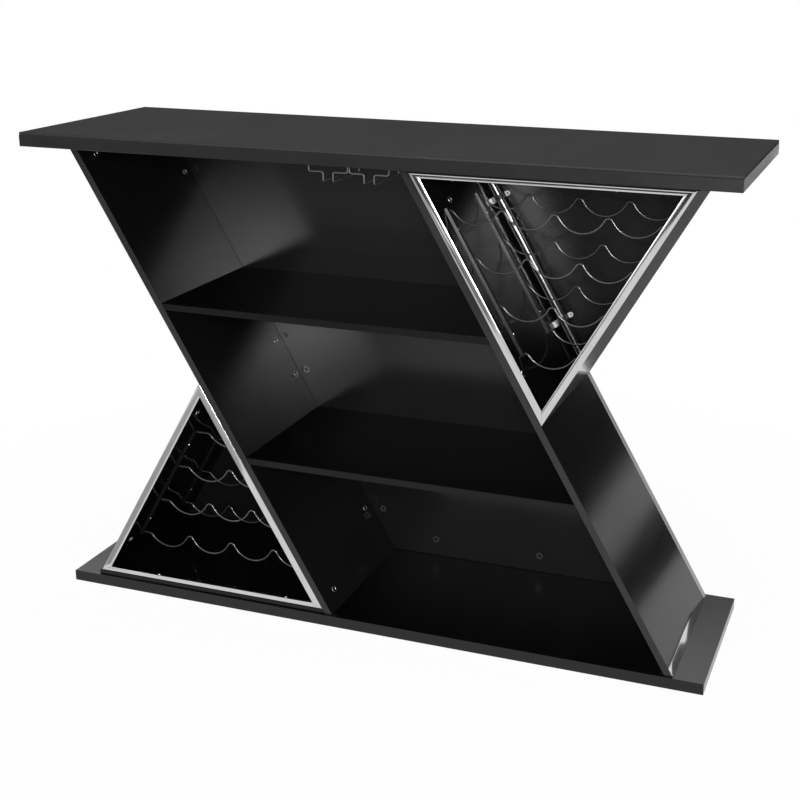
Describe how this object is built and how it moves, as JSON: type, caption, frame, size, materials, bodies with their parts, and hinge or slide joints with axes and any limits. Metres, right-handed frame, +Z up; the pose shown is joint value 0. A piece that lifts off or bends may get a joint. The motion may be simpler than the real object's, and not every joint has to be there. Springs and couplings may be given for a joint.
{
  "type": "bar counter",
  "caption": "Free-standing bar counter with leaning side panels, open shelves in the slanted centre, wire bottle racks in chrome-framed triangular bays and a stemware hanger.",
  "frame": {"origin": "bottom centre of the whole counter, on the floor", "axes": "+X along the counter to the right as seen from the server's side, +Y from the open server's side to the closed back, +Z up"},
  "size_m": [1.532, 0.494, 1.067],
  "materials": {
    "lacquer": "satin black laminate on board",
    "top_finish": "satin black top sheet",
    "chrome": "polished",
    "black_wire": "semi-gloss black",
    "stem_wire": "semi-gloss dark grey",
    "clear_tube": "clear, glossy"
  },
  "bodies": {
    "root": {"base_board": "lacquer", "top_board": "lacquer", "right_side_panel": "lacquer", "left_side_panel": "lacquer", "lower_shelf": "lacquer", "upper_shelf": "lacquer", "centre_back_panel": "lacquer", "top_plate": "top_finish", "upper_wing_panel": "lacquer", "upper_bay_board": "lacquer", "upper_back_panel": "lacquer", "upper_frame_side_bar": "chrome", "upper_frame_wing_bar": "chrome", "upper_frame_rail": "chrome", "upper_front_rack_wire_1": "black_wire", "upper_front_rack_wire_2": "black_wire", "upper_front_rack_wire_3": "black_wire", "upper_front_rack_wire_4": "black_wire", "upper_front_rack_left_strip": "black_wire", "upper_front_rack_right_strip": "black_wire", "upper_rear_rack_wire_1": "black_wire", "upper_rear_rack_wire_2": "black_wire", "upper_rear_rack_wire_3": "black_wire", "upper_rear_rack_wire_4": "black_wire", "upper_rear_rack_left_strip": "black_wire", "upper_rear_rack_right_strip": "black_wire", "lower_wing_panel": "lacquer", "lower_bay_board": "lacquer", "lower_back_panel": "lacquer", "lower_frame_side_bar": "chrome", "lower_frame_wing_bar": "chrome", "lower_frame_rail": "chrome", "lower_front_rack_wire_1": "black_wire", "lower_front_rack_wire_2": "black_wire", "lower_front_rack_wire_3": "black_wire", "lower_front_rack_wire_4": "black_wire", "lower_front_rack_left_strip": "black_wire", "lower_front_rack_right_strip": "black_wire", "lower_rear_rack_wire_1": "black_wire", "lower_rear_rack_wire_2": "black_wire", "lower_rear_rack_wire_3": "black_wire", "lower_rear_rack_wire_4": "black_wire", "lower_rear_rack_left_strip": "black_wire", "lower_rear_rack_right_strip": "black_wire", "stem_hanger_1_left_wire": "stem_wire", "stem_hanger_1_right_wire": "stem_wire", "stem_hanger_2_left_wire": "stem_wire", "stem_hanger_2_right_wire": "stem_wire", "light_tube": "clear_tube", "light_clip_upper": "chrome", "light_clip_lower": "chrome", "foot_strip": "chrome"}
  },
  "joints": []
}
